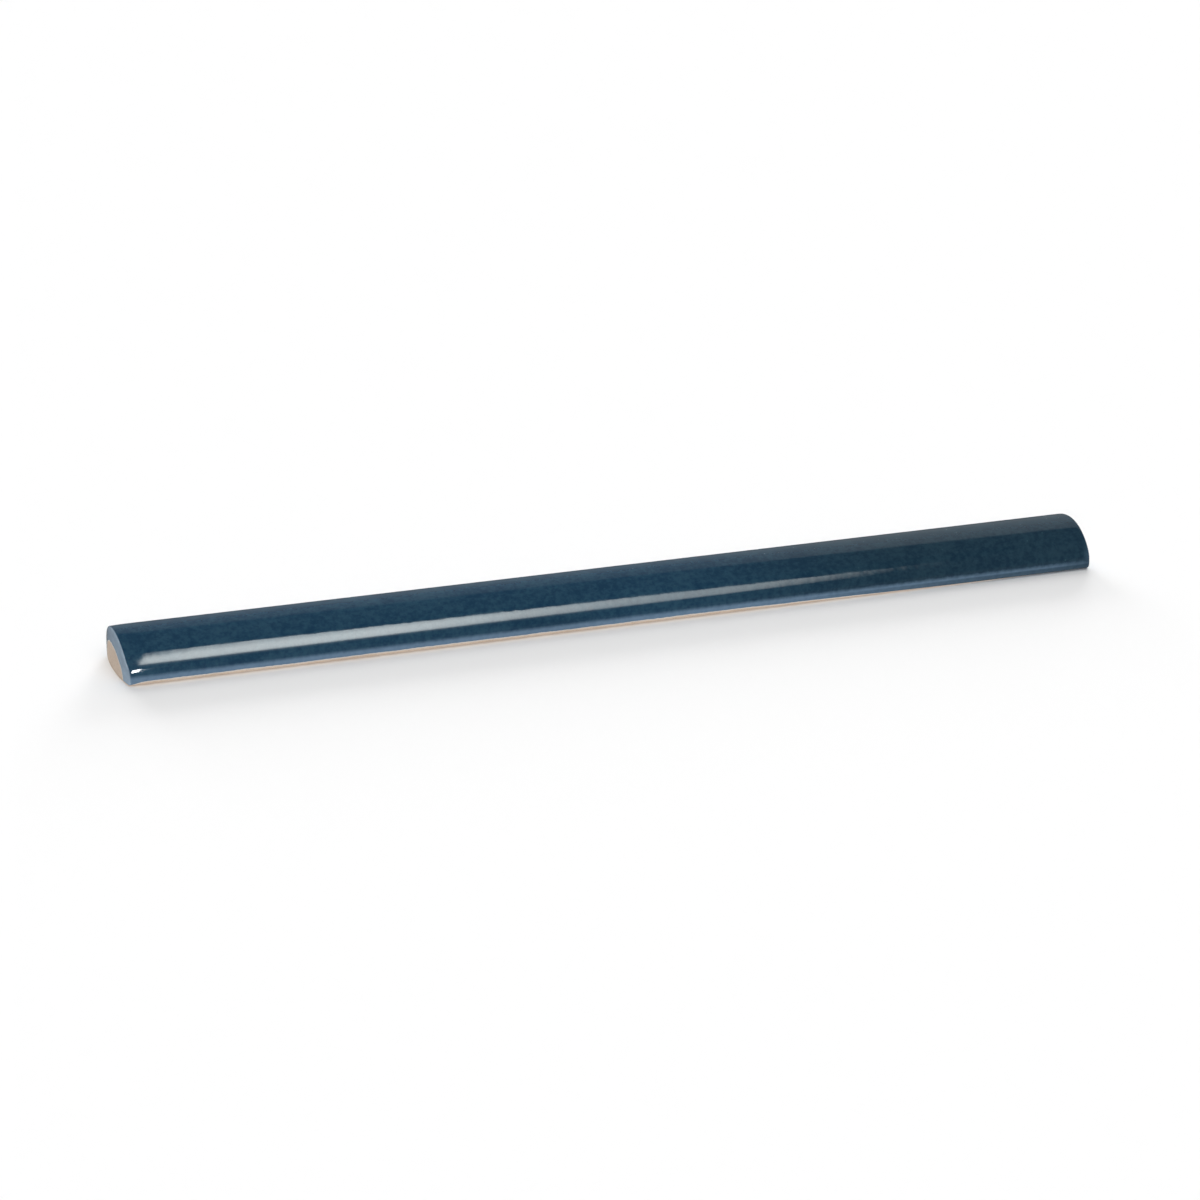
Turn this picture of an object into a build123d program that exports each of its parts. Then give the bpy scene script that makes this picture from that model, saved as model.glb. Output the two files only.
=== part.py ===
"""Half-round ceramic pencil trim: one pressed, glazed and fired piece, lying on its flat back.

Frame: millimetres, origin at the middle of the back, +X along the trim, +Y across it, +Z out of the wall.
"""

import os

from build123d import *

# Overall size
length = 200.0  # end to end, nominal 20 cm
width = 20.0  # across the long edges, nominal 2 cm
height = 8.5  # back to the top of the crown

# Section
edge_height = 3.4  # long edge that meets the grout, before its corners are rounded
shoulder_radius = 3.0  # turn from the long edge onto the crown
foot_radius = 1.8  # turn from the long edge onto the back

# Ends
end_block = 8.0  # length of the piece that is shaped at each end
end_bulge = 56.0  # the end swells out as part of a ball of this radius
arris_radius = 0.4  # soft edge all round an end

# Keying grooves pressed into the back for the adhesive
groove_count = 2
groove_width = 2.4
groove_depth = 0.6
groove_pitch = 6.4  # centre to centre
groove_margin = 10.0  # from a groove's end to the end of the trim
groove_draft = 20.0  # degrees, so that the piece leaves its die


with BuildPart() as trim:
    # Section: flat back, two short upright edges and one arc over the crown
    with BuildSketch(Plane.YZ.offset(length / 2 - end_block)) as section:
        with BuildLine() as outline:
            back = Line((width / 2, 0), (-width / 2, 0))
            near_edge = Line(back @ 1, (-width / 2, edge_height))
            far_edge = Line(back @ 0, (width / 2, edge_height))
            crown = ThreePointArc(near_edge @ 1, (0, height), far_edge @ 1)
        make_face()
        shoulders = section.vertices().filter_by(lambda corner: corner.Y > 0)
        fillet(shoulders, shoulder_radius)
        feet = section.vertices().group_by(Axis.Y)[0]
        fillet(feet, foot_radius)

    # One end: swells out furthest at the middle of the back, with a soft edge all round
    extrude(amount=end_block)
    with Locations((length / 2 - end_bulge, 0, arris_radius)):
        Sphere(end_bulge, mode=Mode.INTERSECT)
    end = trim.faces().sort_by(Axis.X)[-1]
    fillet(end.edges(), arris_radius)

    # The run from that end to the middle, then the other half
    inner_face = trim.faces().sort_by(Axis.X)[0]
    extrude(inner_face, amount=length / 2 - end_block)
    mirror(about=Plane.YZ)

    # Keying grooves, closed short of both ends
    with BuildSketch(Plane.XY):
        with GridLocations(0, groove_pitch, 1, groove_count):
            SlotOverall(length - 2 * groove_margin, groove_width)
    extrude(amount=groove_depth, taper=groove_draft, mode=Mode.SUBTRACT)

trim.part.label = "pencil_trim"

os.makedirs("parts", exist_ok=True)
export_step(trim.part, "parts/pencil_trim.step")
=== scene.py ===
"""Half-round ceramic trim tile: a glazed dome on a bare clay body, on its back in a plain pale studio."""

import math
from collections import namedtuple

import bmesh
import bpy
from bpy.props import FloatProperty, FloatVectorProperty, IntProperty, PointerProperty
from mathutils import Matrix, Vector


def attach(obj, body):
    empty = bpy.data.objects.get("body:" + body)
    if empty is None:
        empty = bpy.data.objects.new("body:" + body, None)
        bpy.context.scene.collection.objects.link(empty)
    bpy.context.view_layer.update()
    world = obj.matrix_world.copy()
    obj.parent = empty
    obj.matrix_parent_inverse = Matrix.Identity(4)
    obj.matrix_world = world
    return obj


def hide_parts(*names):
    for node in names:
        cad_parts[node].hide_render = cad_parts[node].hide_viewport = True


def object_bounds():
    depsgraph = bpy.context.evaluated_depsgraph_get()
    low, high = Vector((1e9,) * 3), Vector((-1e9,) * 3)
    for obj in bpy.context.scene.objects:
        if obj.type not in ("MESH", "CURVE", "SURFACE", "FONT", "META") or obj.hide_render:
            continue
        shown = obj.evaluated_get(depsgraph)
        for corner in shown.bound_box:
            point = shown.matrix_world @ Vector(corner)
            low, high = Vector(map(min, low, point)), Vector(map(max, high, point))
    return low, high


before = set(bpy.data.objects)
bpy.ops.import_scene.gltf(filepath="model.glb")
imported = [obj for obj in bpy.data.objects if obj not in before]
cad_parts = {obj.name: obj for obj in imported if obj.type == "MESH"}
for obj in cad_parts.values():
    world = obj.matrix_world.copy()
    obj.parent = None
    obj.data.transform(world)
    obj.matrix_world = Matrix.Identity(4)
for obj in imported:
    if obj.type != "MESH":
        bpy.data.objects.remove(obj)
CAD_LOW, CAD_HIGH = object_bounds()

bl_info = {
    "name": "Glazed pencil trim",
    "version": (1, 0, 0),
    "blender": (4, 5, 0),
    "location": "View3D > Sidebar > Trim",
    "description": "Models a half-round glazed trim tile and the plain studio that it lies in",
    "category": "Add Mesh",
}

MM = 0.001
NODE = "pencil_trim"
TOUCH = 0.002 * MM  # how near to a plane a vertex counts as lying in it
GLAZE, CLAY = 0, 1  # material slots of the trim
ALONG = (1, 0, 0)  # the axis that the section is spun about

DROOP_RINGS, ARRIS_RINGS, FACE_RINGS = 8, 6, 10  # rings of an end, from the dome to the middle of its face
FACE_REACH = 0.9  # share of the half width over which they draw in
RIGHT_DROOP = 0.1  # droop of the right end, as a share of the left one's
STRAIGHT_LOW, STRAIGHT_HIGH = 2 * MM, 5 * MM  # heights between which the left end's near side straightens
CUTTER_SINK = 0.1 * MM  # how far below the back a groove's cutter starts
CUTTER_STEPS = 8  # faces round a corner of the cutter
CREASE = math.radians(40)  # edges sharper than this stay sharp
FACING_DOWN = -0.99  # upward part of the normal of a face of the back
GLAZE_IOR, CLAY_IOR = 1.5, 1.45
GLAZE_STEP = 0.05  # millimetres that the glaze stands above the clay
DOT_CORE = 0.3  # share of a dot's radius that is solid

WHITE = (1.0, 1.0, 1.0, 1.0)
FLOOR_SIDE = 12
FLOOR_GAP = 0.02 * MM  # keeps the floor clear of the back
FLOOR_IN_GLAZE = (0.9, 0.95, 1.0, 1.0)
DARK_ROOM = 0.04  # light that the glaze mirrors from the rest of the studio
BEHIND_TURN = math.radians(6)  # how much less than the view the lights behind are turned
LOW_HEIGHT = math.radians(14)
LOW_SWING = math.radians(15)  # each of the two low lights stands this far to its side
LOW_SPREAD = math.radians(20)
HIGH_FALL = 1.2  # drop of the high light for each metre across
HIGH_SPREAD = math.radians(50)
FRONT_TOWARDS = (0.1, 0.8, -1.0)
FRONT_SPREAD = math.radians(60)
SENSOR = 36  # millimetres

Section = namedtuple("Section", "crown_z shoulder_y shoulder_z shoulder_turn")
End = namedtuple("End", "side droop arris lean straight")
Place = namedtuple("Place", "point x y z end_gap along run_out ripple")


class TrimSizes(bpy.types.PropertyGroup):
    """Sizes of the pressed clay body and of the mesh that shows it"""

    length: FloatProperty(
        name="Length", description="End to end",
        default=CAD_HIGH.x - CAD_LOW.x - TOUCH, unit="LENGTH", precision=5,
    )
    width: FloatProperty(
        name="Width", description="Across the long edges",
        default=CAD_HIGH.y - CAD_LOW.y, unit="LENGTH", precision=5,
    )
    height: FloatProperty(
        name="Height", description="From the back to the crown",
        default=CAD_HIGH.z, unit="LENGTH", precision=5,
    )
    edge_height: FloatProperty(
        name="Edge height", description="Long edge before its corners are rounded",
        default=3.4 * MM, unit="LENGTH",
    )
    shoulder_radius: FloatProperty(
        name="Shoulder radius", description="Turn from the long edge onto the crown",
        default=3.0 * MM, unit="LENGTH",
    )
    droop_length: FloatProperty(
        name="Droop length", description="Run over which the dome falls towards an end",
        default=4.0 * MM, unit="LENGTH",
    )
    droop: FloatProperty(
        name="Droop", description="Fall of the dome towards the left end",
        default=0.10 * MM, unit="LENGTH",
    )
    left_arris: FloatProperty(
        name="Left arris", description="Turn from the dome onto the left end",
        default=0.3 * MM, unit="LENGTH",
    )
    right_arris: FloatProperty(
        name="Right arris", description="Turn from the dome onto the right end",
        default=0.3 * MM, unit="LENGTH",
    )
    end_bulge: FloatProperty(
        name="End bulge", description="Radius of the ball that an end is part of",
        default=56.0 * MM, unit="LENGTH",
    )
    near_straight: FloatProperty(
        name="Near straightening",
        description="Share of the left end's swell taken out at its near shoulder",
        default=0.6, subtype="FACTOR",
    )
    foot_radius: FloatProperty(
        name="Foot radius", description="Turn from the long edge onto the back",
        default=1.8 * MM, unit="LENGTH",
    )
    groove_width: FloatProperty(
        name="Groove width", description="Keying groove in the back",
        default=2.4 * MM, unit="LENGTH",
    )
    groove_depth: FloatProperty(
        name="Groove depth", description="Keying groove in the back",
        default=0.6 * MM, unit="LENGTH",
    )
    groove_pitch: FloatProperty(
        name="Groove pitch", description="Between the two grooves' middles",
        default=6.4 * MM, unit="LENGTH",
    )
    groove_margin: FloatProperty(
        name="Groove margin", description="From a groove to the end of the trim",
        default=10.0 * MM, unit="LENGTH",
    )
    groove_draft: FloatProperty(
        name="Groove draft", description="Slope of a groove's walls",
        default=math.radians(20), subtype="ANGLE",
    )
    glaze_swell: FloatProperty(
        name="Glaze swell", description="Height of the slow waves in the glaze",
        default=0.02 * MM, unit="LENGTH",
    )
    swell_length: FloatProperty(
        name="Swell length", description="Length of the slow waves in the glaze",
        default=12.0 * MM, unit="LENGTH",
    )
    bare_foot: FloatProperty(
        name="Bare foot", description="Strip wiped clean above the back",
        default=1.00 * MM, unit="LENGTH",
    )
    bare_start: FloatProperty(
        name="Bare foot's start", description="Where the wiped strip starts to run out",
        default=15 * MM, unit="LENGTH",
    )
    bare_end: FloatProperty(
        name="Bare foot's end", description="Where the glaze reaches the back",
        default=95 * MM, unit="LENGTH",
    )
    bare_end_width: FloatProperty(
        name="Bare end's width", description="Bare arch, from its middle to the near edge",
        default=7.9 * MM, unit="LENGTH",
    )
    bare_end_far: FloatProperty(
        name="Bare end's far width", description="Bare arch, from its middle to the far edge",
        default=6.6 * MM, unit="LENGTH",
    )
    bare_end_height: FloatProperty(
        name="Bare end's height", description="Height of an end's bare arch",
        default=5.2 * MM, unit="LENGTH",
    )
    bare_end_shift: FloatProperty(
        name="Bare end's shift", description="Arch's middle, towards the far edge",
        default=2.0 * MM, unit="LENGTH",
    )
    thin_height: FloatProperty(
        name="Thin glaze", description="Height below which the glaze thins",
        default=2.55 * MM, unit="LENGTH",
    )
    crown_steps: IntProperty(name="Crown steps", description="Faces over the crown", default=72)
    shoulder_steps: IntProperty(name="Shoulder steps", description="Faces round a shoulder", default=16)
    coarse_cuts: IntProperty(name="Coarse cuts", description="First cuts along the trim", default=19)
    fine_cuts: IntProperty(name="Fine cuts", description="Cuts between the first ones", default=19)


class TrimColours(bpy.types.PropertyGroup):
    """Colours of the glaze and of the clay"""

    deep_glaze: FloatVectorProperty(
        name="Deep glaze", description="Where the glaze is thick",
        default=(0.0115, 0.0442, 0.0875, 1.0), subtype="COLOR", size=4,
    )
    teal_glaze: FloatVectorProperty(
        name="Teal glaze", description="Greener clouds in the thick glaze",
        default=(0.0237, 0.0709, 0.1172, 1.0), subtype="COLOR", size=4,
    )
    # Painted shade: this colour and the next one darken the thick glaze towards the right end, standing in
    # for light that falls off there.
    right_shade_glaze: FloatVectorProperty(
        name="Pooled glaze", description="Where the glaze is thickest, at the right",
        default=(0.0102, 0.0316, 0.0560, 1.0), subtype="COLOR", size=4,
    )
    right_shade_teal: FloatVectorProperty(
        name="Pooled teal", description="Greener clouds in the thickest glaze",
        default=(0.0187, 0.0490, 0.0750, 1.0), subtype="COLOR", size=4,
    )
    thin_glaze: FloatVectorProperty(
        name="Thin glaze", description="Where the glaze thins along the foot",
        default=(0.1420, 0.2270, 0.3300, 1.0), subtype="COLOR", size=4,
    )
    lapped_glaze: FloatVectorProperty(
        name="Lapped glaze", description="Thin glaze that laps onto an end",
        default=(0.3700, 0.4850, 0.6100, 1.0), subtype="COLOR", size=4,
    )
    fleck: FloatVectorProperty(
        name="Fleck", description="Small pale flecks in the glaze",
        default=(0.0600, 0.1300, 0.1500, 1.0), subtype="COLOR", size=4,
    )
    clay: FloatVectorProperty(
        name="Clay", description="Bare fired clay",
        default=(0.650, 0.530, 0.430, 1.0), subtype="COLOR", size=4,
    )
    clay_rim: FloatVectorProperty(
        name="Clay rim", description="Clay just below the glaze",
        default=(0.760, 0.700, 0.640, 1.0), subtype="COLOR", size=4,
    )
    # Dark clay: the coarser grain of the clay, and also the painted contact shade along the lowest part of
    # the foot.
    dark_clay_and_foot_shade: FloatVectorProperty(
        name="Dark clay", description="Coarser grain and handling marks",
        default=(0.480, 0.360, 0.270, 1.0), subtype="COLOR", size=4,
    )


class TrimStage(bpy.types.PropertyGroup):
    """Camera and light of the plain studio"""

    azimuth: FloatProperty(
        name="Azimuth", description="Turn of the view from straight across the trim",
        default=math.radians(20.077), subtype="ANGLE",
    )
    elevation: FloatProperty(
        name="Elevation", description="View above the floor",
        default=math.radians(19.271), subtype="ANGLE",
    )
    distance: FloatProperty(name="Distance", description="Camera to aim", default=0.7531, unit="LENGTH")
    aim: FloatVectorProperty(
        name="Aim", description="Point in the middle of the view",
        default=(-0.281 * MM, 6.910 * MM, 0.0), unit="LENGTH",
    )
    lens: FloatProperty(name="Lens", description="Focal length in millimetres", default=114.07)
    floor: FloatVectorProperty(
        name="Floor", description="Pale floor",
        default=(0.90, 0.90, 0.90, 1.0), subtype="COLOR", size=4,
    )
    floor_in_glaze: FloatProperty(
        name="Floor in the glaze", description="Brightness of the floor that the glaze mirrors",
        default=0.15,
    )
    floor_bounce: FloatProperty(
        name="Floor bounce", description="Light that the floor throws back up", default=1.0
    )
    backdrop: FloatProperty(name="Backdrop", description="Brightness behind the floor", default=1.05)
    tent: FloatProperty(name="Tent", description="Even light from all round", default=0.38)
    front_light: FloatProperty(
        name="Front light", description="Strength of the broad light in front", default=1.22
    )
    high_light: FloatProperty(
        name="High light", description="Strength of the broad light behind", default=0.72
    )
    low_light: FloatProperty(
        name="Low light", description="Strength of the two low lights behind together", default=3.30
    )
    softbox: FloatProperty(name="Softbox", description="Brightness of the long softbox", default=10.2)
    front_card: FloatProperty(
        name="Front card", description="Brightness of the small card in front", default=45.0
    )
    back_wall: FloatProperty(
        name="Back wall", description="Brightness of the wall that the crown mirrors", default=0.41
    )
    back_wall_tint: FloatVectorProperty(
        name="Back wall tint", description="Grey of that wall",
        default=(0.89, 0.94, 0.93, 1.0), subtype="COLOR", size=4,
    )
    side_light: FloatProperty(
        name="Side light", description="Brightness that the left arris mirrors", default=2.5
    )


def section_of(sizes):
    """Centres and turn of the arcs in the section, from its driving sizes."""
    half_width = sizes.width / 2
    rise = sizes.height - sizes.edge_height
    crown_radius = (half_width**2 + rise**2) / (2 * rise)
    crown_z = sizes.height - crown_radius
    shoulder_y = half_width - sizes.shoulder_radius
    reach = crown_radius - sizes.shoulder_radius
    shoulder_z = crown_z + math.sqrt(reach**2 - shoulder_y**2)
    turn = math.atan2(shoulder_z - crown_z, shoulder_y)
    return Section(crown_z, shoulder_y, shoulder_z, turn)


def smooth(share):
    """Holds a share between 0 and 1, and eases it at both."""
    share = max(0.0, min(1.0, share))
    return share * share * (3 - 2 * share)


def middle(item):
    """Middle of an edge or a face."""
    return sum((corner.co for corner in item.verts), Vector()) / len(item.verts)


def runs_along(edge):
    """True for an edge that lies along the trim."""
    first, last = (corner.co for corner in edge.verts)
    return abs(last.x - first.x) > edge.calc_length() - TOUCH


def select(body, kind, test):
    """In edit mode, selects just the edges or the faces that pass the test."""
    bpy.ops.mesh.select_mode(type=kind)
    bpy.ops.mesh.select_all(action="DESELECT")
    mesh = bmesh.from_edit_mesh(body.data)
    for item in {"EDGE": mesh.edges, "FACE": mesh.faces}[kind]:
        item.select_set(bool(test(item)))
    bmesh.update_edit_mesh(body.data)


def apply_modifier(trim, kind, **settings):
    """Selects the trim alone, and gives it a modifier that is applied at once."""
    bpy.ops.object.select_all(action="DESELECT")
    trim.select_set(True)
    bpy.context.view_layer.objects.active = trim
    bpy.ops.object.modifier_add(type=kind)
    made = trim.modifiers[-1]
    for name, value in settings.items():
        setattr(made, name, value)
    bpy.ops.object.modifier_apply(modifier=made.name)


def sweep_section(sizes, section):
    """The near long edge as an upright strip, spun over both shoulders and the crown to the far foot."""
    bpy.ops.object.select_all(action="DESELECT")
    foot = sizes.foot_radius
    inner = sizes.width / 2 - foot
    top = section.shoulder_z
    upright = top - foot
    bpy.ops.mesh.primitive_plane_add(
        size=1,
        location=(0, -sizes.width / 2, foot + upright / 2),
        rotation=(math.pi / 2, 0, 0),
    )
    trim = bpy.context.object
    trim.name = "glazed_trim"
    trim.data.name = "glazed_trim"
    trim.scale = (sizes.length - 2 * sizes.droop_length, upright, 1)
    bpy.ops.object.transform_apply(location=True, rotation=True, scale=True)
    bpy.ops.object.mode_set(mode="EDIT")
    turned = sizes.shoulder_steps
    select(trim, "EDGE", lambda edge: all(corner.co.z < foot + TOUCH for corner in edge.verts))
    bpy.ops.mesh.spin(steps=turned, angle=-math.pi / 2, center=(0, -inner, foot), axis=ALONG)
    select(trim, "EDGE", lambda edge: all(corner.co.z > top - TOUCH for corner in edge.verts))
    crown_turn = math.pi - 2 * section.shoulder_turn
    arcs = (
        ((0, -section.shoulder_y, top), section.shoulder_turn, turned),
        ((0, 0, section.crown_z), crown_turn, sizes.crown_steps),
        ((0, section.shoulder_y, top), section.shoulder_turn, turned),
    )
    for centre, turn, steps in arcs:
        bpy.ops.mesh.spin(steps=steps, angle=turn, center=centre, axis=ALONG)
    bpy.ops.mesh.extrude_edges_move(TRANSFORM_OT_translate={"value": (0, 0, -upright)})
    bpy.ops.mesh.spin(steps=turned, angle=math.pi / 2, center=(0, inner, foot), axis=ALONG)
    return trim


def ends_of(sizes):
    """The left end, straighter at its near shoulder, and the right one, whose rim leans back."""
    return (
        End(-1, sizes.droop, sizes.left_arris, 0.0, sizes.near_straight),
        End(1, RIGHT_DROOP * sizes.droop, sizes.right_arris, 1.0, 0.0),
    )


def end_rings(sizes, end):
    """Rings of an end, from the dome inwards: the gap to the tip, and how far the section is drawn in."""
    rings = [(sizes.droop_length, 0.0)]
    for step in range(1, DROOP_RINGS + 1):
        share = step / DROOP_RINGS
        gap = sizes.droop_length + (end.arris - sizes.droop_length) * share
        rings.append((gap, end.droop * share**2))
    for step in range(1, ARRIS_RINGS + 1):
        angle = math.pi / 2 * step / ARRIS_RINGS
        gap = end.arris * (1 - math.sin(angle))
        rings.append((gap, end.droop + end.arris * (1 - math.cos(angle))))
    rim = end.droop + end.arris
    reach = FACE_REACH * sizes.width / 2
    for step in range(1, FACE_RINGS + 1):
        rings.append((0.0, rim + (reach - rim) * step / FACE_RINGS))
    return rings


def roll_ends(trim, sizes):
    """Draws the section in ring by ring over each arris, and closes the end."""
    half = sizes.width / 2
    for end in ends_of(sizes):
        rings = end_rings(sizes, end)
        rim = end.side * (sizes.length / 2 - sizes.droop_length)
        select(trim, "EDGE", lambda edge: all(abs(corner.co.x - rim) < TOUCH for corner in edge.verts))
        for (gap, inset), (next_gap, next_inset) in zip(rings, rings[1:]):
            step = (end.side * (gap - next_gap), 0, 0)
            bpy.ops.mesh.extrude_edges_move(TRANSFORM_OT_translate={"value": step})
            draw = (half - next_inset) / (half - inset)
            bpy.ops.transform.resize(value=(1, draw, draw), center_override=(0, 0, 0))
        bpy.ops.mesh.edge_face_add()


def close_back(trim):
    """Fills the back, and turns every face outwards."""
    select(trim, "EDGE", lambda edge: edge.is_boundary and middle(edge).z < TOUCH)
    bpy.ops.mesh.edge_face_add()
    bpy.ops.mesh.select_all(action="SELECT")
    bpy.ops.mesh.normals_make_consistent(inside=False)


def divide_length(trim, sizes):
    """Cuts the long faces across, so that the glaze can rise and fall along the trim."""
    straight = sizes.length - 2 * sizes.droop_length
    select(trim, "EDGE", lambda edge: edge.calc_length() > straight - TOUCH)
    bpy.ops.mesh.subdivide(number_cuts=sizes.coarse_cuts)
    longest = straight / (sizes.coarse_cuts + 1) + TOUCH
    shortest = longest - 2 * TOUCH
    select(trim, "EDGE", lambda edge: shortest < edge.calc_length() < longest and runs_along(edge))
    bpy.ops.mesh.subdivide(number_cuts=sizes.fine_cuts)


def add_cutter(sizes, y):
    """A drafted, round-ended bar where a keying groove goes."""
    bpy.ops.object.select_all(action="DESELECT")
    groove_length = sizes.length - 2 * sizes.groove_margin
    depth = sizes.groove_depth + CUTTER_SINK
    bpy.ops.mesh.primitive_cube_add(size=1, location=(0, y, depth / 2 - CUTTER_SINK))
    cutter = bpy.context.object
    cutter.scale = (groove_length, sizes.groove_width, depth)
    bpy.ops.object.transform_apply(location=False, rotation=False, scale=True)
    bpy.ops.object.mode_set(mode="EDIT")
    select(cutter, "EDGE", lambda edge: abs(middle(edge).z) < TOUCH)
    round_off = sizes.groove_width / 2
    bpy.ops.mesh.bevel(offset=round_off, segments=CUTTER_STEPS, profile=0.5, affect="EDGES")
    bpy.ops.mesh.select_all(action="SELECT")
    bpy.ops.mesh.remove_doubles(threshold=TOUCH)
    taper = 2 * depth * math.tan(sizes.groove_draft)
    select(cutter, "FACE", lambda face: middle(face).z > depth / 2 - TOUCH)
    bpy.ops.transform.resize(value=(1 - taper / groove_length, 1 - taper / sizes.groove_width, 1))
    bpy.ops.object.mode_set(mode="OBJECT")
    return cutter


def cut_grooves(trim, sizes):
    """Takes the two keying grooves out of the back."""
    for side in (-1, 1):
        cutter = add_cutter(sizes, side * sizes.groove_pitch / 2)
        apply_modifier(trim, "BOOLEAN", operation="DIFFERENCE", solver="EXACT", object=cutter)
        bpy.data.objects.remove(cutter)


def bulge_ends(trim, sizes):
    """Sets the rim of each end back, so that the end swells."""
    deepest = (sizes.width**2 / 4 + sizes.height**2) / (2 * sizes.end_bulge)
    straight = sizes.length / 2 - sizes.droop_length
    for end in ends_of(sizes):
        run = sizes.droop_length - end.arris
        rim = trim.vertex_groups.new(name="rim")
        for corner in trim.data.vertices:
            x, y, z = corner.co
            share = smooth((end.side * x - straight) / run)
            if share > 0:
                across = y**2
                if y < 0:
                    climb = smooth((z - STRAIGHT_LOW) / (STRAIGHT_HIGH - STRAIGHT_LOW))
                    across *= 1 - end.straight * climb
                back = (across + end.lean * (z - end.arris) ** 2) / (2 * sizes.end_bulge)
                rim.add([corner.index], share * back / deepest, "REPLACE")
        apply_modifier(
            trim, "DISPLACE", direction="X", vertex_group=rim.name,
            mid_level=0.0, strength=-end.side * deepest,
        )
        trim.vertex_groups.clear()


def swell_glaze(trim, sizes):
    """Lets the glaze lie in slow waves over the dome, fading out at the foot and at both ends."""
    dome = trim.vertex_groups.new(name="dome")
    end = sizes.length / 2 - sizes.droop_length
    for corner in trim.data.vertices:
        rise = (corner.co.z - sizes.thin_height) / sizes.thin_height
        run = (end - abs(corner.co.x)) / (2 * sizes.droop_length)
        share = smooth(min(rise, run))
        if share > 0:
            dome.add([corner.index], share, "REPLACE")
    waves = bpy.data.textures.new("glaze_waves", "CLOUDS")
    waves.noise_scale = sizes.swell_length
    waves.noise_depth = 1
    apply_modifier(
        trim, "DISPLACE", texture=waves, texture_coords="LOCAL", vertex_group=dome.name,
        mid_level=1.0, strength=sizes.glaze_swell,
    )
    trim.vertex_groups.clear()


def check_closed(trim):
    """Stops with an error where the body isn't closed."""
    mesh = bmesh.new()
    mesh.from_mesh(trim.data)
    loose = sum(len(edge.link_faces) != 2 for edge in mesh.edges)
    mesh.free()
    if loose:
        raise RuntimeError(f"{loose} edges of the trim aren't between two faces")


def build_trim(sizes):
    """The whole body as one closed mesh, its place in its own vertices."""
    section = section_of(sizes)
    trim = sweep_section(sizes, section)
    roll_ends(trim, sizes)
    close_back(trim)
    bpy.ops.object.mode_set(mode="OBJECT")
    cut_grooves(trim, sizes)
    bpy.ops.object.mode_set(mode="EDIT")
    divide_length(trim, sizes)
    bpy.ops.object.mode_set(mode="OBJECT")
    bulge_ends(trim, sizes)
    swell_glaze(trim, sizes)
    bpy.ops.object.shade_smooth_by_angle(angle=CREASE)
    check_closed(trim)
    return trim


def add_node(tree, kind, inputs=None, **settings):
    """Adds a node; each of its inputs takes a value or another node's output."""
    made = tree.nodes.new("ShaderNode" + kind)
    for name, value in settings.items():
        setattr(made, name, value)
    for socket, value in (inputs or {}).items():
        if isinstance(value, bpy.types.NodeSocket):
            tree.links.new(value, made.inputs[socket])
        else:
            made.inputs[socket].default_value = value
    return made


def calc(tree, operation, *values, clamp=False):
    """One step of arithmetic."""
    inputs = dict(enumerate(values))
    return add_node(tree, "Math", inputs, operation=operation, use_clamp=clamp).outputs[0]


def product(tree, first, *others):
    """Multiplies values."""
    total = first
    for factor in others:
        total = calc(tree, "MULTIPLY", total, factor)
    return total


def square(tree, value):
    """A value times itself."""
    return calc(tree, "MULTIPLY", value, value)


def rest(tree, share):
    """What a share leaves of one."""
    return calc(tree, "SUBTRACT", 1.0, share)


def ramp(tree, value, slope, base):
    """The base, and the slope times the value."""
    return calc(tree, "MULTIPLY_ADD", value, slope, base)


def ease(tree, value, start, end, low=0.0, high=1.0):
    """Goes smoothly from low to high while the value goes from start to end."""
    inputs = {"Value": value, "From Min": start, "From Max": end, "To Min": low, "To Max": high}
    return add_node(tree, "MapRange", inputs, interpolation_type="SMOOTHSTEP").outputs[0]


def lumps(tree, point, size, detail=2.0):
    """Soft noise around one half, in lumps of about the given size."""
    return add_node(tree, "TexNoise", {"Vector": point, "Scale": 1 / size, "Detail": detail}).outputs[0]


def dots(tree, point, size, radius, share):
    """Scattered dots: 1 in the middle of a dot and 0 between dots, in the given share of the cells."""
    cells = add_node(tree, "TexVoronoi", {"Vector": point, "Scale": 1 / size, "Randomness": 1.0})
    chance = add_node(tree, "SeparateColor", {"Color": cells.outputs["Color"]}).outputs[0]
    chosen = calc(tree, "LESS_THAN", chance, share)
    inside = ease(tree, cells.outputs["Distance"], radius / size, DOT_CORE * radius / size)
    return product(tree, chosen, inside)


def blend(tree, share, first, second):
    """Mixes two colours."""
    return add_node(tree, "Mix", {0: share, 6: first, 7: second}, data_type="RGBA").outputs[2]


def blend_values(tree, share, first, second):
    """Mixes two values."""
    return add_node(tree, "Mix", {0: share, 2: first, 3: second}, data_type="FLOAT").outputs[0]


def coordinates(tree, kind):
    """The three coordinates of the point that is shaded."""
    point = add_node(tree, "TexCoord").outputs[kind]
    return add_node(tree, "SeparateXYZ", {0: point}).outputs


def switch(tree, test, first, second):
    """Shows the first shader, or the second where the test is 1."""
    return add_node(tree, "MixShader", {0: test, 1: first.outputs[0], 2: second.outputs[0]})


def new_material(name):
    """A new material, and its nodes."""
    material = bpy.data.materials.new(name)
    material.use_nodes = True
    return material, material.node_tree


def raise_skin(tree, shader, height):
    """Bumps the surface by a height in millimetres."""
    bump = add_node(tree, "Bump", {"Strength": 1.0, "Distance": MM, "Height": height})
    tree.links.new(bump.outputs["Normal"], shader.inputs["Normal"])


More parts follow.
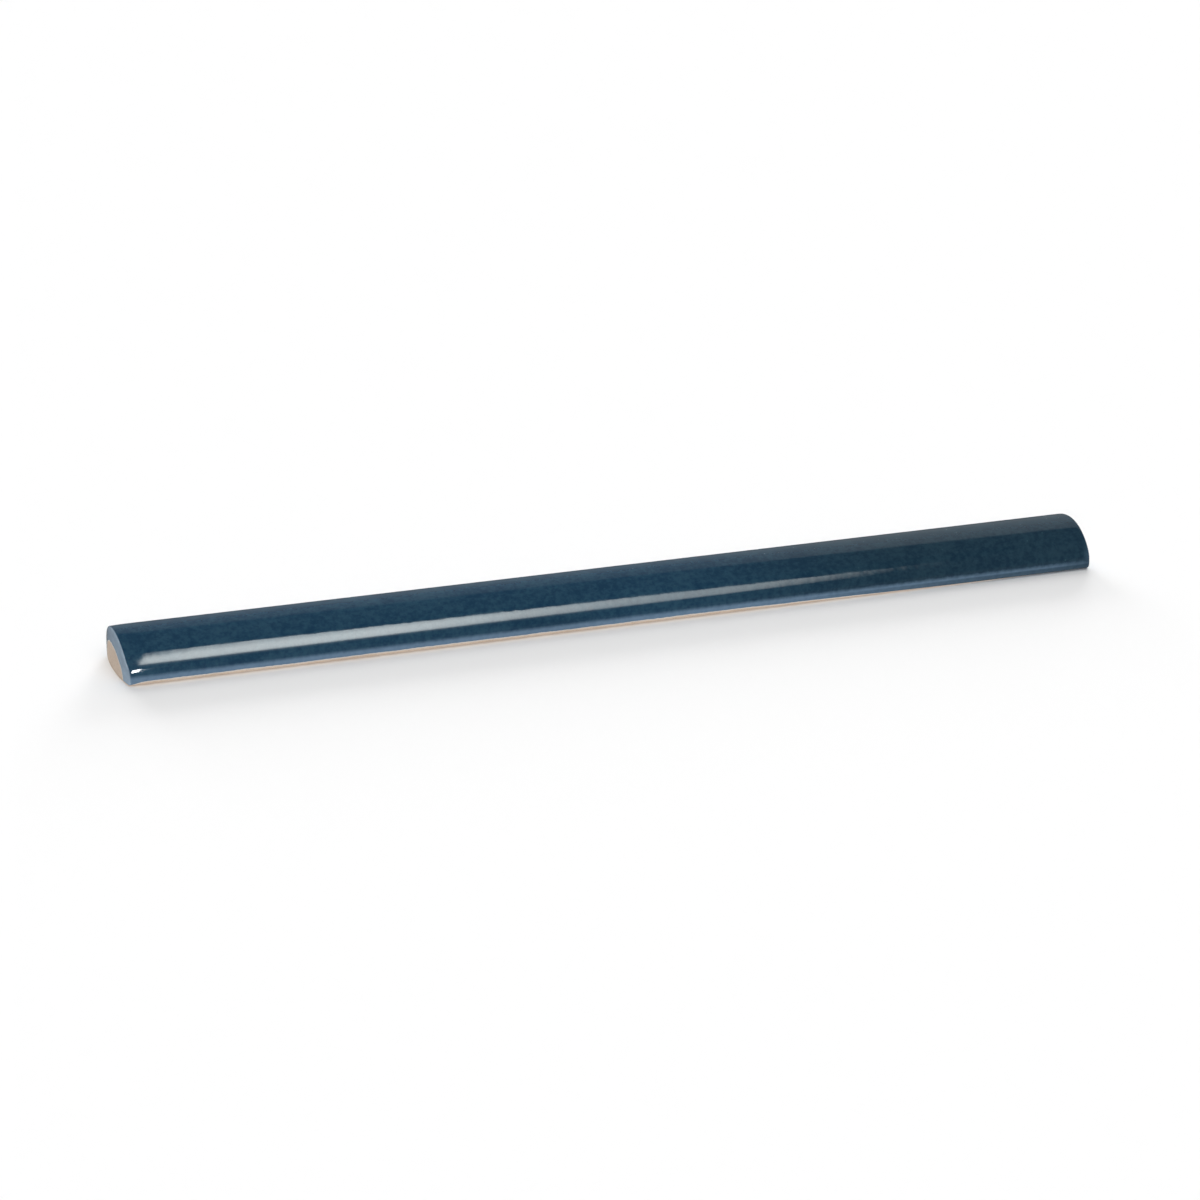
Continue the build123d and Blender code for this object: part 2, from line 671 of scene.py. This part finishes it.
def fired_clay_group(colours):
    """Colour and grain of bare fired clay, for the wiped foot and for the unglazed back and ends."""
    group = bpy.data.node_groups.new("fired_clay", "ShaderNodeTree")
    point = add_node(group, "TexCoord").outputs["Object"]
    drift = lumps(group, point, size=6 * MM, detail=3.0)
    grain = lumps(group, point, size=0.35 * MM, detail=3.0)
    specks = dots(group, point, size=1.1 * MM, radius=0.22 * MM, share=0.30)
    pits = dots(group, point, size=0.8 * MM, radius=0.16 * MM, share=0.25)
    drift_shade = ease(group, drift, 0.35, 0.70, 0.0, 0.5)
    grain_shade = ease(group, grain, 0.40, 0.70, 0.0, 0.4)
    shade = calc(group, "ADD", drift_shade, grain_shade)
    shade = calc(group, "ADD", shade, product(group, specks, 0.5), clamp=True)
    colour = blend(group, shade, tuple(colours.clay), tuple(colours.dark_clay_and_foot_shade))
    rough = ease(group, grain, 0.3, 0.7, 0.72, 0.90)
    height = ramp(group, grain, slope=0.030, base=product(group, pits, -0.05))
    outputs = (
        ("Colour", "NodeSocketColor", colour),
        ("Roughness", "NodeSocketFloat", rough),
        ("Grain", "NodeSocketFloat", height),
    )
    for name, kind, _ in outputs:
        group.interface.new_socket(name, in_out="OUTPUT", socket_type=kind)
    result = group.nodes.new("NodeGroupOutput")
    for name, _, value in outputs:
        group.links.new(value, result.inputs[name])
    return group


def find_place(tree, point, sizes):
    """Where a point of the skin lies, how far the wiped strip has run out there, and the fine ripple."""
    x, y, z = add_node(tree, "SeparateXYZ", {0: point}).outputs
    end_gap = calc(tree, "SUBTRACT", sizes.length / 2, calc(tree, "ABSOLUTE", x))
    along = product(tree, x, calc(tree, "SIGN", y), -1.0)
    run_out = ease(tree, along, sizes.bare_start, sizes.bare_end)
    ripple = calc(tree, "SUBTRACT", lumps(tree, point, size=1.0 * MM, detail=3.0), 0.5)
    return Place(point, x, y, z, end_gap, along, run_out, ripple)


def height_over_bare(tree, place, sizes):
    """Height over the bare clay, both over the wiped line along the foot and over the arch on an end."""
    wander = calc(tree, "SUBTRACT", lumps(tree, place.point, size=9 * MM, detail=2.0), 0.5)
    uneven = ramp(tree, wander, slope=0.30 * MM, base=product(tree, place.ripple, 0.25 * MM))
    wiped = product(tree, ease(tree, place.end_gap, -1.0 * MM, 4.0 * MM), rest(tree, place.run_out))
    line = product(tree, wiped, calc(tree, "ADD", uneven, sizes.bare_foot))
    over_line = calc(tree, "SUBTRACT", place.z, line)
    aside = calc(tree, "SUBTRACT", place.y, sizes.bare_end_shift)
    near = calc(tree, "DIVIDE", aside, -sizes.bare_end_width)
    far = calc(tree, "DIVIDE", aside, sizes.bare_end_far)
    across = calc(tree, "MAXIMUM", near, far)
    up = calc(tree, "DIVIDE", place.z, sizes.bare_end_height)
    arch = calc(tree, "SQRT", calc(tree, "ADD", square(tree, across), square(tree, up)))
    over_arch = product(tree, calc(tree, "SUBTRACT", arch, 1.0), sizes.bare_end_height)
    over_arch = ramp(tree, uneven, slope=2.0, base=over_arch)
    off_the_end = ease(tree, place.end_gap, 1.0 * MM, 1.4 * MM, 0.0, 10 * MM)
    return calc(tree, "MINIMUM", over_line, calc(tree, "ADD", over_arch, off_the_end))


def depth_behind_end(tree, place, sizes):
    """Depth behind the nearer end's face, which swells as bulge_ends shapes it."""
    at_left = calc(tree, "LESS_THAN", place.x, 0.0)
    at_right = calc(tree, "GREATER_THAN", place.x, 0.0)
    rise = product(tree, calc(tree, "SUBTRACT", place.z, sizes.right_arris), at_right)
    straight = ease(tree, place.z, STRAIGHT_LOW, STRAIGHT_HIGH, 0.0, sizes.near_straight)
    straight = product(tree, straight, calc(tree, "LESS_THAN", place.y, 0.0), at_left)
    across = product(tree, square(tree, place.y), rest(tree, straight))
    bulge = calc(tree, "ADD", across, square(tree, rise))
    return calc(tree, "SUBTRACT", place.end_gap, calc(tree, "DIVIDE", bulge, 2 * sizes.end_bulge))


def thin_at_foot(tree, place, sizes, depth):
    """How thin the glaze is along the foot, less so to the right, and low on the right end's arris, where
    the pale thin glaze also stands for a painted highlight.
    """
    thin_height = sizes.thin_height
    reach = ease(tree, place.along, 0.0, 70 * MM, 0.25 * MM, 0.7 * MM)
    ragged = calc(tree, "ADD", place.z, product(tree, place.ripple, reach))
    thin = ease(tree, ragged, thin_height, 0.62 * thin_height)
    lowest = ease(tree, place.z, 0.66 * thin_height, 0.52 * thin_height, 0.0, 0.6)
    over_lowest = rest(tree, product(tree, place.run_out, lowest))
    thicker = ramp(tree, place.run_out, slope=-0.35, base=1.0)
    at_tip = ease(tree, place.x, 90 * MM, 98 * MM, 1.0, 0.55)
    thin = product(tree, thin, over_lowest, thicker, at_tip)
    # Thin glaze and a painted highlight: a pale line low on the right end's arris.
    arris_thin_and_highlight = ease(tree, depth, 1.8 * MM, 0.1 * MM, 0.0, 0.22)
    low_down = ease(tree, place.z, 6 * MM, 3 * MM)
    at_right = calc(tree, "GREATER_THAN", place.x, 0.0)
    return calc(tree, "MAXIMUM", thin, product(tree, arris_thin_and_highlight, low_down, at_right))


def thin_on_ends(tree, place, sizes, depth):
    """How thin the glaze is where it laps over an arris onto an end."""
    over_arris = ease(tree, depth, 0.8 * sizes.left_arris, 0.0)
    off_the_edges = ease(tree, calc(tree, "ABSOLUTE", place.y), 9.9 * MM, 9.3 * MM)
    return product(tree, over_arris, off_the_edges)


def thick_glaze(tree, place, colours, pools, mottle):
    """Colour of the thick glaze: blue with greener clouds, painted shade that darkens it towards the
    right, and a few pale flecks.
    """
    speckle = lumps(tree, place.point, size=0.45 * MM, detail=2.0)
    cloud = ramp(tree, mottle, slope=0.55, base=product(tree, pools, 0.35))
    cloud = ease(tree, ramp(tree, speckle, slope=0.30, base=cloud), 0.46, 0.74)
    deep = blend(tree, cloud, tuple(colours.deep_glaze), tuple(colours.teal_glaze))
    # Painted shade: the glaze blends into these darker colours over the right part of the trim.
    right_shaded = blend(tree, cloud, tuple(colours.right_shade_glaze), tuple(colours.right_shade_teal))
    deep = blend(tree, ease(tree, place.x, 0.0, 65 * MM), deep, right_shaded)
    flecks = dots(tree, place.point, size=3.2 * MM, radius=0.28 * MM, share=0.35)
    return blend(tree, product(tree, flecks, 0.35), deep, tuple(colours.fleck))


def glaze_material(sizes, colours, clay_group):
    """Deep blue gloss glaze that thins over the arrises and stops above the wiped clay foot."""
    material, tree = new_material("blue_glaze")
    shader = tree.nodes["Principled BSDF"]
    clay = add_node(tree, "Group", node_tree=clay_group).outputs
    point = add_node(tree, "TexCoord").outputs["Object"]
    place = find_place(tree, point, sizes)
    above = height_over_bare(tree, place, sizes)
    cover = ease(tree, above, -0.07 * MM, 0.07 * MM)
    depth = depth_behind_end(tree, place, sizes)
    pools = lumps(tree, point, size=7 * MM, detail=3.0)
    mottle = lumps(tree, point, size=1.1 * MM, detail=3.0)
    streaks = ease(tree, mottle, 0.25, 0.75, 0.82, 1.0)
    foot_thin = product(tree, thin_at_foot(tree, place, sizes, depth), streaks)
    end_thin = product(tree, thin_on_ends(tree, place, sizes, depth), streaks)
    glaze = thick_glaze(tree, place, colours, pools, mottle)
    glaze = blend(tree, foot_thin, glaze, tuple(colours.thin_glaze))
    glaze = blend(tree, end_thin, glaze, tuple(colours.lapped_glaze))
    rim = product(tree, ease(tree, above, -0.30 * MM, -0.05 * MM), 0.85)
    bare = blend(tree, rim, clay["Colour"], tuple(colours.clay_rim))
    # Painted contact shade: the bare clay darkens over its lowest 0.6 mm, where the foot meets the floor.
    painted_foot_shade = ease(tree, place.z, 0.60 * MM, 0.15 * MM, 0.0, 0.6)
    bare = blend(tree, painted_foot_shade, bare, tuple(colours.dark_clay_and_foot_shade))
    tree.links.new(blend(tree, cover, bare, glaze), shader.inputs["Base Color"])
    gloss = ease(tree, pools, 0.3, 0.7, 0.05, 0.09)
    tree.links.new(blend_values(tree, cover, clay["Roughness"], gloss), shader.inputs["Roughness"])
    peel = product(tree, lumps(tree, point, size=2.4 * MM, detail=1.0), 0.014)
    fine = product(tree, lumps(tree, point, size=0.9 * MM, detail=1.0), 0.003)
    skin = calc(tree, "ADD", calc(tree, "ADD", peel, fine), GLAZE_STEP)
    raise_skin(tree, shader, blend_values(tree, cover, clay["Grain"], skin))
    shader.inputs["IOR"].default_value = GLAZE_IOR
    return material


def clay_material(clay_group):
    """Bare fired clay of the back."""
    material, tree = new_material("bare_clay")
    shader = tree.nodes["Principled BSDF"]
    clay = add_node(tree, "Group", node_tree=clay_group).outputs
    tree.links.new(clay["Colour"], shader.inputs["Base Color"])
    tree.links.new(clay["Roughness"], shader.inputs["Roughness"])
    raise_skin(tree, shader, clay["Grain"])
    shader.inputs["IOR"].default_value = CLAY_IOR
    return material


def finish_trim(trim, sizes, colours):
    """Glaze on the dome and its arrises, bare clay under it and inside the grooves."""
    clay_group = fired_clay_group(colours)
    trim.data.materials.clear()
    trim.data.materials.append(glaze_material(sizes, colours, clay_group))
    trim.data.materials.append(clay_material(clay_group))
    groove_top = 1.01 * sizes.groove_depth
    groove_edge = (sizes.groove_pitch + sizes.groove_width) / 2 + TOUCH
    groove_end = sizes.length / 2 - sizes.groove_margin + TOUCH
    for face in trim.data.polygons:
        x, y, z = face.center
        back = face.normal.z < FACING_DOWN and z < TOUCH
        groove = z < groove_top and abs(y) < groove_edge and abs(x) < groove_end
        face.material_index = CLAY if back or groove else GLAZE


class TRIM_OT_tile(bpy.types.Operator):
    """Model the glazed trim over its CAD solid"""

    bl_idname = "trim.tile"
    bl_label = "Glazed trim"

    def execute(self, context):
        sizes = context.scene.trim_sizes
        trim = build_trim(sizes)
        finish_trim(trim, sizes, context.scene.trim_colours)
        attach(trim, "root")
        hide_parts(NODE)
        return {"FINISHED"}


def add_sheet(name, size, place, facing=None):
    """A flat sheet of the studio, facing a point or lying level."""
    bpy.ops.object.select_all(action="DESELECT")
    bpy.ops.mesh.primitive_plane_add(size=1, location=place)
    sheet = bpy.context.object
    sheet.name = name
    sheet.scale = (size[0], size[1], 1)
    bpy.ops.object.transform_apply(location=False, rotation=False, scale=True)
    if facing is not None:
        sheet.rotation_euler = (Vector(facing) - Vector(place)).to_track_quat("Z", "Y").to_euler()
    return sheet


def lay_floor(stage):
    """A pale matt floor, dim where the glaze mirrors it, that throws an even light back up at the trim."""
    floor = add_sheet("floor", (FLOOR_SIDE, FLOOR_SIDE), (0, 0, -FLOOR_GAP))
    material, tree = new_material("pale_floor")
    shader = tree.nodes["Principled BSDF"]
    shader.inputs["Base Color"].default_value = stage.floor
    shader.inputs["Roughness"].default_value = 1.0
    shader.inputs["Specular IOR Level"].default_value = 0.0
    mirrored = add_node(tree, "Emission", {"Color": FLOOR_IN_GLAZE, "Strength": stage.floor_in_glaze})
    thrown = add_node(tree, "Emission", {"Color": WHITE, "Strength": stage.floor_bounce})
    path = add_node(tree, "LightPath").outputs
    seen = switch(tree, path["Is Diffuse Ray"], shader, thrown)
    mix = switch(tree, path["Is Glossy Ray"], seen, mirrored)
    tree.links.new(mix.outputs[0], tree.nodes["Material Output"].inputs["Surface"])
    floor.data.materials.append(material)


def glow(sheet, name, colour, brightness):
    """Makes a sheet shine, as bright from place to place as the function says, seen in the glaze only."""
    material, tree = new_material(name)
    tree.nodes.clear()
    shine = add_node(tree, "Emission", {"Color": colour, "Strength": brightness(tree)})
    result = add_node(tree, "OutputMaterial")
    tree.links.new(shine.outputs[0], result.inputs["Surface"])
    sheet.data.materials.append(material)
    sheet.visible_camera = False
    sheet.visible_diffuse = False
    sheet.visible_shadow = False


def hang_softbox(stage):
    """A softbox overhead in front, brightest at its left and fading to the right and towards the front."""
    box = add_sheet("softbox", (0.44, 1.10), (0.24, -0.60, 0.80))

    def falloff(tree):
        u, v, _ = coordinates(tree, "Object")
        steep = ramp(tree, u, slope=-4.8, base=0.78)
        gentle = ramp(tree, u, slope=-0.75, base=0.50)
        across = calc(tree, "MINIMUM", calc(tree, "MAXIMUM", steep, gentle), 1.0)
        behind = calc(tree, "MAXIMUM", calc(tree, "SUBTRACT", v, 0.25), 0.0)
        corner = ramp(tree, behind, slope=-0.12, base=u)
        sides = product(tree, ease(tree, corner, -0.205, -0.152), ease(tree, u, 0.200, 0.110))
        slant = calc(tree, "MAXIMUM", calc(tree, "ADD", u, 0.14), 0.0)
        far = ease(tree, ramp(tree, slant, slope=0.47, base=v), 0.496, 0.472)
        core = product(tree, ease(tree, v, 0.45, 0.31, 0.65, 1.0), ease(tree, v, -0.12, 0.27))
        deep = calc(tree, "ADD", core, ease(tree, v, -0.55, 0.0, 0.0, 0.09))
        return product(tree, across, sides, deep, far, stage.softbox)

    glow(box, "softbox_cloth", (0.95, 1.0, 0.97, 1.0), falloff)


def hang_front_card(stage):
    """A small bright card low in front, which only the drooping left end of the glaze mirrors."""
    left_corner = (-0.0972, -0.0099, 0.003)
    card = add_sheet("front_card", (0.26, 0.46), (-0.0156, -0.8896, 0.1747), facing=left_corner)
    half_width, half_height = 0.044, 0.228

    def oval(tree):
        u, v, _ = coordinates(tree, "Object")
        lean = calc(tree, "DIVIDE", ramp(tree, v, slope=0.26, base=u), half_width)
        tall = calc(tree, "DIVIDE", v, half_height)
        away = calc(tree, "ADD", square(tree, lean), square(tree, tall))
        return product(tree, ease(tree, away, 1.0, 0.7), stage.front_card)

    glow(card, "front_card_cloth", WHITE, oval)


def light_world(context, stage):
    """White for the eye, even light on everything, and a dim grey studio where the glaze mirrors it."""
    world = bpy.data.worlds.new("tent")
    world.use_nodes = True
    tree = world.node_tree
    tree.nodes.clear()
    path = add_node(tree, "LightPath").outputs
    level = ramp(tree, path["Is Camera Ray"], slope=stage.backdrop - stage.tent, base=stage.tent)
    even = add_node(tree, "Background", {"Color": WHITE, "Strength": level})
    x, y, z = coordinates(tree, "Generated")
    behind = ease(tree, y, -0.10, 0.10)
    top = ramp(tree, x, slope=0.46, base=0.602)
    under_top = ease(tree, calc(tree, "SUBTRACT", z, top), 0.016, -0.016)
    right = ease(tree, x, 0.33, 0.40)
    climb = ramp(tree, right, slope=ease(tree, z, 0.15, 0.75, 0.16, 0.56), base=0.47)
    climb = product(tree, climb, ease(tree, z, 0.0, 0.17, 0.6, 1.0))
    wall = ramp(tree, product(tree, behind, under_top, climb), slope=stage.back_wall, base=DARK_ROOM)
    aside = product(tree, ease(tree, x, -0.52, -0.64), ease(tree, z, 0.26, 0.40))
    wall = ramp(tree, aside, slope=stage.side_light, base=wall)
    mirrored = add_node(tree, "Background", {"Color": tuple(stage.back_wall_tint), "Strength": wall})
    mix = switch(tree, path["Is Glossy Ray"], even, mirrored)
    result = add_node(tree, "OutputWorld")
    tree.links.new(mix.outputs[0], result.inputs["Surface"])
    context.scene.world = world


def add_sun(name, towards, strength, spread):
    """A broad distant light that shines towards a direction and doesn't show in the glaze."""
    bpy.ops.object.light_add(type="SUN", location=(0, 0, 1))
    lamp = bpy.context.object
    lamp.name = name
    lamp.rotation_euler = Vector(towards).to_track_quat("-Z", "Y").to_euler()
    lamp.data.energy = strength
    lamp.data.angle = spread
    lamp.visible_glossy = False


def hang_suns(stage):
    """Two low lights and a high one behind the trim, and a broad one in front."""
    turn = stage.azimuth - BEHIND_TURN
    for side in (-1, 1):
        swung = turn + side * LOW_SWING
        towards = (-math.sin(swung), -math.cos(swung), -math.tan(LOW_HEIGHT))
        add_sun("low_light", towards, stage.low_light / 2, LOW_SPREAD)
    towards = (-math.sin(turn), -math.cos(turn), -HIGH_FALL)
    add_sun("high_light", towards, stage.high_light, HIGH_SPREAD)
    add_sun("front_light", FRONT_TOWARDS, stage.front_light, FRONT_SPREAD)


def place_camera(context, stage):
    """Looks at the trim from the photograph's side."""
    flat = math.cos(stage.elevation)
    x = -math.sin(stage.azimuth) * flat
    y = -math.cos(stage.azimuth) * flat
    back = Vector((x, y, math.sin(stage.elevation)))
    bpy.ops.object.camera_add(location=Vector(stage.aim) + back * stage.distance)
    camera = context.object
    camera.rotation_euler = (-back).to_track_quat("-Z", "Y").to_euler()
    camera.data.lens = stage.lens
    camera.data.sensor_width = SENSOR
    context.scene.camera = camera


class TRIM_OT_stage(bpy.types.Operator):
    """Set the pale floor, the soft light and the camera"""

    bl_idname = "trim.stage"
    bl_label = "Studio"

    def execute(self, context):
        stage = context.scene.trim_stage
        lay_floor(stage)
        hang_softbox(stage)
        hang_front_card(stage)
        light_world(context, stage)
        hang_suns(stage)
        place_camera(context, stage)
        context.scene.view_settings.view_transform = "Standard"
        return {"FINISHED"}


class TRIM_PT_sidebar(bpy.types.Panel):
    """Lists the trim and its studio"""

    bl_idname = "TRIM_PT_sidebar"
    bl_label = "Glazed trim"
    bl_space_type = "VIEW_3D"
    bl_region_type = "UI"
    bl_category = "Trim"

    def draw(self, context):
        self.layout.operator(TRIM_OT_tile.bl_idname)
        self.layout.operator(TRIM_OT_stage.bl_idname)


CLASSES = (TrimSizes, TrimColours, TrimStage, TRIM_OT_tile, TRIM_OT_stage, TRIM_PT_sidebar)


def register():
    for kind in CLASSES:
        bpy.utils.register_class(kind)
    bpy.types.Scene.trim_sizes = PointerProperty(type=TrimSizes)
    bpy.types.Scene.trim_colours = PointerProperty(type=TrimColours)
    bpy.types.Scene.trim_stage = PointerProperty(type=TrimStage)


def unregister():
    del bpy.types.Scene.trim_stage
    del bpy.types.Scene.trim_colours
    del bpy.types.Scene.trim_sizes
    for kind in reversed(CLASSES):
        bpy.utils.unregister_class(kind)


def main():
    register()
    bpy.ops.trim.tile()
    bpy.ops.trim.stage()


if __name__ == "__main__":
    main()
